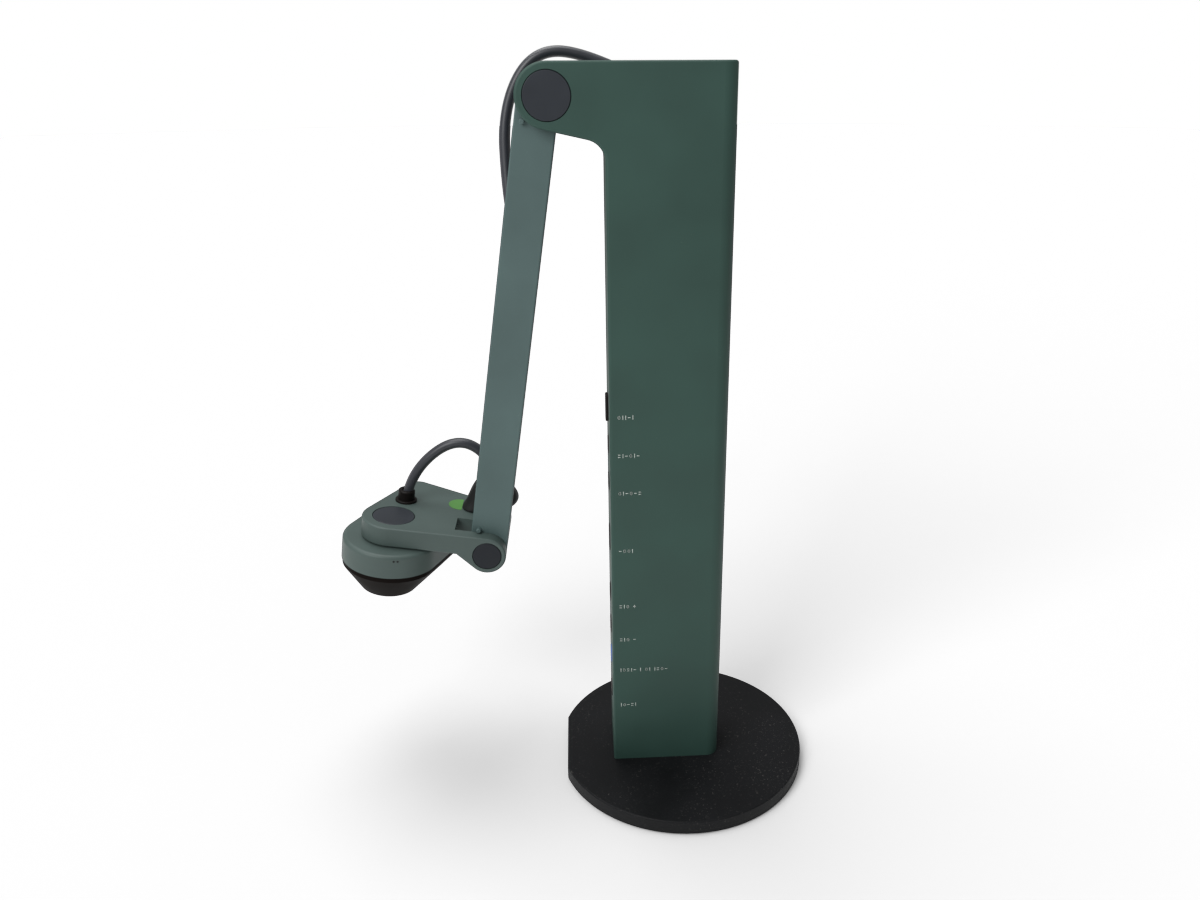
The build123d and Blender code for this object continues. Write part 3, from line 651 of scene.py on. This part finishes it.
class SCANNER_OT_boot(ScannerOperator, bpy.types.Operator):
    """Mould the rubber boot that holds the lower lead on the bracket"""

    bl_idname = "scanner.boot"
    bl_label = "Rubber boot"

    def execute(self, context):
        built = bmesh.new()
        rings = []
        for w, middle, half_width, half_depth in BOOT_RINGS:

            def place_at(turn):
                u = middle + half_width * squared(math.cos(turn))
                v = BOOT_V + half_depth * squared(math.sin(turn))
                return in_arm(u, v, w)

            rings.append(add_ring(built, BOOT_SIDES, place_at))
        skin_rings(built, rings)
        # Moulded EPDM rubber: duller and a little warmer than the plastics beside it
        rubber = moulded(
            "moulded_epdm_rubber",
            self.colours(context).rubber,
            0.6,
            0.55,
            Specular_IOR_Level=0.25,
        )
        mesh = finished_mesh("rubber_boot", built)
        boot = new_object("rubber_boot", mesh, rubber, "bracket")
        smooth = boot.modifiers.new("rounding", "SUBSURF")
        smooth.levels = 1
        smooth.render_levels = 2
        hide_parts("bracket_lead_boot")
        give(rubber, "base_pad", "column_lead_hood", "arm_lead_hood")
        return {"FINISHED"}


class SCANNER_OT_microphones(ScannerOperator, bpy.types.Operator):
    """Set small black gauze discs on the head's wall, their black partly painted shade of the
    microphone holes
    """

    bl_idname = "scanner.microphones"
    bl_label = "Microphone holes"

    def execute(self, context):
        radius = self.sizes(context).microphone_hole / 2
        # Woven polyester gauze: black and quite without gloss, the black partly painted shade, so
        # it reads as an open hole
        gauze = moulded("gauze_and_painted_hole_shade", linear("#060606"), 0.15, 0.8, depth_mm=0.05)
        built = bmesh.new()
        for degrees, w in MICROPHONES:
            angle = math.radians(degrees)
            away = U_AXIS * math.cos(angle) + V_AXIS * math.sin(angle)
            along = V_AXIS * math.cos(angle) - U_AXIS * math.sin(angle)
            u = SWIVEL[0] + HEAD_RADIUS * math.cos(angle)
            v = SWIVEL[1] + HEAD_RADIUS * math.sin(angle)
            rings = []
            for size, depth in MICROPHONE_RINGS:

                def place_at(turn):
                    side = along * math.cos(turn) + W_AXIS * math.sin(turn)
                    return in_arm(u, v, w) + side * radius * size + away * depth * MM

                rings.append(add_ring(built, MICROPHONE_SIDES, place_at))
            skin_rings(built, rings)
        mesh = finished_mesh("microphone_hole_shade_discs", built)
        new_object("microphone_hole_shade_discs", mesh, gauze, "head")
        return {"FINISHED"}


class SCANNER_OT_painted_shells(ScannerOperator, bpy.types.Operator):
    """Paint the column, the arm, the bracket and the head"""

    bl_idname = "scanner.painted_shells"
    bl_label = "Painted shells"

    def execute(self, context):
        colours = self.colours(context)
        give(green_casing_paint(colours), "column_near_shell", "column_far_shell", "button_strip")
        give(green_head_paint(colours), "bracket_body", "bracket_under_cover", "head_shell")
        # The stop pegs are painted over with the arm
        give(grey_green_arm_paint(colours), "arm_bar", "arm_cover", "arm_stop_pegs")
        return {"FINISHED"}


class SCANNER_OT_base(ScannerOperator, bpy.types.Operator):
    """Coat the base"""

    bl_idname = "scanner.base"
    bl_label = "Base"

    def execute(self, context):
        give(black_powder_coat(self.colours(context)), "base_plate")
        return {"FINISHED"}


class SCANNER_OT_plastics(ScannerOperator, bpy.types.Operator):
    """Finish the caps, the buttons, the head's lower casing and the sticker"""

    bl_idname = "scanner.plastics"
    bl_label = "Caps and buttons"

    def execute(self, context):
        colours = self.colours(context)
        # Moulded ABS with a satin spark grain: charcoal, a little blue against the green
        caps = moulded("satin_charcoal_abs", colours.caps, 0.5, 0.5, Specular_IOR_Level=0.3)
        give(caps, "shoulder_cap_near", "shoulder_cap_far", "swivel_cap")
        # The same plastic, darker on the elbow caps as painted shade, since they sit lower in
        # less light
        dark = moulded(
            "satin_abs_painted_shade", shade(colours.caps, 0.62), 0.5, 0.55, Specular_IOR_Level=0.2
        )
        give(dark, "elbow_cap_near", "elbow_cap_far")
        # Moulded black polycarbonate: nearly black with a faint warm tone
        black = moulded(
            "matt_black_polycarbonate", linear("#100d0c"), 0.6, 0.5, Specular_IOR_Level=0.12
        )
        give(black, "port_panel", "lens_barrel", "bracket_gland", "swivel_spacer")
        # The same plastic on the head's lower casing, rougher, its colour a little darker and
        # browner as painted shade under the head
        rough = moulded(
            "rough_polycarbonate_painted_shade", linear("#0f0b09"), 0.6, 0.62, Specular_IOR_Level=0.04
        )
        give(rough, "head_bezel")
        for key in ("light", "filter", "rotate", "zoom", "exposure_up", "exposure_down", "power"):
            give(black, f"button_{key}")
        # Moulded blue ABS: the one coloured key
        give(moulded("satin_blue_abs", linear("#2d5ea8"), 0.5, 0.4), "button_focus")
        # Printed vinyl: flat bright green with a slight sheen
        give(moulded("printed_vinyl", colours.sticker, 0.9, 0.45, 0.08, 0.01), "bracket_sticker")
        # Opal acrylic: milky and softly glossy
        opal = moulded("opal_acrylic", linear("#e6e4dc"), 1.2, 0.35, 0.03, 0.01)
        give(opal, "lamp_diffuser")
        return {"FINISHED"}


class SCANNER_OT_metals(ScannerOperator, bpy.types.Operator):
    """Finish the pins, screws, washers, nuts, bushes, spine, foot and sockets"""

    bl_idname = "scanner.metals"
    bl_label = "Metal parts"

    def execute(self, context):
        # Zinc-plated steel: bluish grey, lightly brushed by the turning
        steel = brushed("zinc_plated_steel", linear("#9a9c9f"), 0.34)
        give(steel, "base_screws", "column_shell_screws", "arm_cover_screws", "bracket_screws")
        for hinge in ("shoulder", "elbow", "swivel"):
            give(steel, f"{hinge}_pin", f"{hinge}_washers", f"{hinge}_nut")
        give(steel, "column_spine")
        # Sintered bronze: brownish gold, matt
        give(brushed("sintered_bronze", linear("#a5835a"), 0.5), "arm_bushes")
        # Die-cast aluminium: pale grey with a dull bloom
        give(brushed("die_cast_aluminium", linear("#b4b5b3"), 0.5, 1.2, 3.0), "column_foot")
        # Tinned sheet steel: bright and thin
        give(brushed("tinned_steel", linear("#b9b9b6"), 0.28), "video_socket", "data_socket")
        return {"FINISHED"}


class SCANNER_OT_optics(ScannerOperator, bpy.types.Operator):
    """Finish the lens, its window and the circuit boards"""

    bl_idname = "scanner.optics"
    bl_label = "Optics and boards"

    def execute(self, context):
        give(coated_glass(), "cover_glass", "lens_elements")
        give(circuit_laminate(), "button_board", "main_board", "sensor_board", "lamp_board")
        return {"FINISHED"}


class SCANNER_OT_marks(ScannerOperator, bpy.types.Operator):
    """Print a row of plain signs beside each button"""

    bl_idname = "scanner.marks"
    bl_label = "Printed marks"

    def execute(self, context):
        sizes = self.sizes(context)
        ink, tree, shader, coords = new_material("screen_print_ink", Roughness=0.6)
        # Screen-printed ink: pale grey and slightly broken where the paint's grain shows through
        wear = noise(tree, coords, 0.5, 3)
        worn = blend_colours(
            tree,
            (ramp(tree, (wear, "Fac"), 0.55, 0.8), "Result"),
            self.colours(context).print_ink,
            self.colours(context).casing,
        )
        tree.links.new(worn.outputs[2], shader.inputs["Base Color"])
        for name, (height, signs) in MARKS.items():
            built = bmesh.new()
            x = MARK_INSET * MM
            for sign in signs:
                for start, end in SIGN_STROKES[sign]:
                    place_stroke(built, x, height, start, end, sizes)
                x += SIGN_WIDTH[sign] * sizes.mark_height
            new_object(f"mark_{name}", finished_mesh(f"mark_{name}", built), ink, "stand")
        return {"FINISHED"}


def place_stroke(built, x, height, start, end, sizes):
    """One printed stroke as a thin slab on the printed face."""
    size = sizes.mark_height
    a = Vector((x + start[0] * size, (start[1] - 0.5) * size))
    b = Vector((x + end[0] * size, (end[1] - 0.5) * size))
    along = (b - a).normalized() * sizes.stroke / 2
    across = Vector((-along.y, along.x))
    outline = [a - along - across, b + along - across, b + along + across, a - along + across]
    face_y = PRINTED_FACE * MM
    corners = []
    for depth in (0.0, -INK_THICKNESS * MM):
        for corner in outline:
            place = (
                COLUMN_FRONT * MM + corner.x,
                face_y + depth,
                (BASE_TOP + height) * MM + corner.y,
            )
            corners.append(built.verts.new(place))
    back, front = corners[:4], corners[4:]
    built.faces.new(front)
    for i in range(4):
        j = (i + 1) % 4
        built.faces.new((back[i], back[j], front[j], front[i]))


class SCANNER_OT_stage(ScannerOperator, bpy.types.Operator):
    """Lay the pale floor and set the soft studio light"""

    bl_idname = "scanner.stage"
    bl_label = "Stage"

    def execute(self, context):
        # White paper roll: even and matt, so that only a soft shadow shows on it
        material, tree, shader, coords = new_material("white_paper_roll", Roughness=0.9)
        fibre = noise(tree, coords, 60, 3)
        tint = blend_colours(tree, (fibre, "Fac"), linear("#f6f6f5"), linear("#fbfbfb"))
        tree.links.new(tint.outputs[2], shader.inputs["Base Color"])
        built = bmesh.new()
        bmesh.ops.create_circle(built, cap_ends=True, segments=64, radius=FLOOR_RADIUS)
        floor = new_object("floor", finished_mesh("floor", built), material)
        floor.is_shadow_catcher = True
        world = bpy.data.worlds.new("studio")
        world.use_nodes = True
        background = world.node_tree.nodes["Background"]
        background.inputs["Color"].default_value = (1.0, 1.0, 1.0, 1.0)
        path = add_node(world.node_tree, "ShaderNodeLightPath")
        strength = add_node(
            world.node_tree,
            "ShaderNodeMapRange",
            {"To Min": ROOM_LIGHT, "To Max": BACKDROP},
            {"Value": (path, "Is Camera Ray")},
        )
        world.node_tree.links.new(strength.outputs["Result"], background.inputs["Strength"])
        context.scene.world = world
        context.scene.view_settings.view_transform = "Standard"
        for name, place, target, size, power in STUDIO_LIGHTS:
            lamp = bpy.data.lights.new(name, "AREA")
            lamp.size = size
            lamp.energy = power
            light = bpy.data.objects.new(name, lamp)
            light.location = place
            aim = Vector(target) - Vector(place)
            light.rotation_euler = aim.to_track_quat("-Z", "Y").to_euler()
            context.scene.collection.objects.link(light)
        return {"FINISHED"}


OPERATORS = [
    SCANNER_OT_camera,
    SCANNER_OT_leads,
    SCANNER_OT_boot,
    SCANNER_OT_microphones,
    SCANNER_OT_painted_shells,
    SCANNER_OT_base,
    SCANNER_OT_plastics,
    SCANNER_OT_metals,
    SCANNER_OT_optics,
    SCANNER_OT_marks,
    SCANNER_OT_stage,
]


class SCANNER_PT_panel(bpy.types.Panel):
    """Sidebar panel that lists the pieces"""

    bl_idname = "SCANNER_PT_panel"
    bl_label = "Book scanner"
    bl_space_type = "VIEW_3D"
    bl_region_type = "UI"
    bl_category = "Book scanner"

    def draw(self, context):
        for operator in OPERATORS:
            self.layout.operator(operator.bl_idname)


CLASSES = [ScannerSizes, ScannerColours, *OPERATORS, SCANNER_PT_panel]


def register():
    """Register the classes and the settings."""
    for cls in CLASSES:
        bpy.utils.register_class(cls)
    bpy.types.Scene.scanner_sizes = bpy.props.PointerProperty(type=ScannerSizes)
    bpy.types.Scene.scanner_colours = bpy.props.PointerProperty(type=ScannerColours)


def unregister():
    """Take the settings and the classes away again."""
    del bpy.types.Scene.scanner_colours
    del bpy.types.Scene.scanner_sizes
    for cls in reversed(CLASSES):
        bpy.utils.unregister_class(cls)


def main():
    """Build every piece in order."""
    register()
    for operator in OPERATORS:
        group, name = operator.bl_idname.split(".")
        getattr(getattr(bpy.ops, group), name)()


if __name__ == "__main__":
    main()
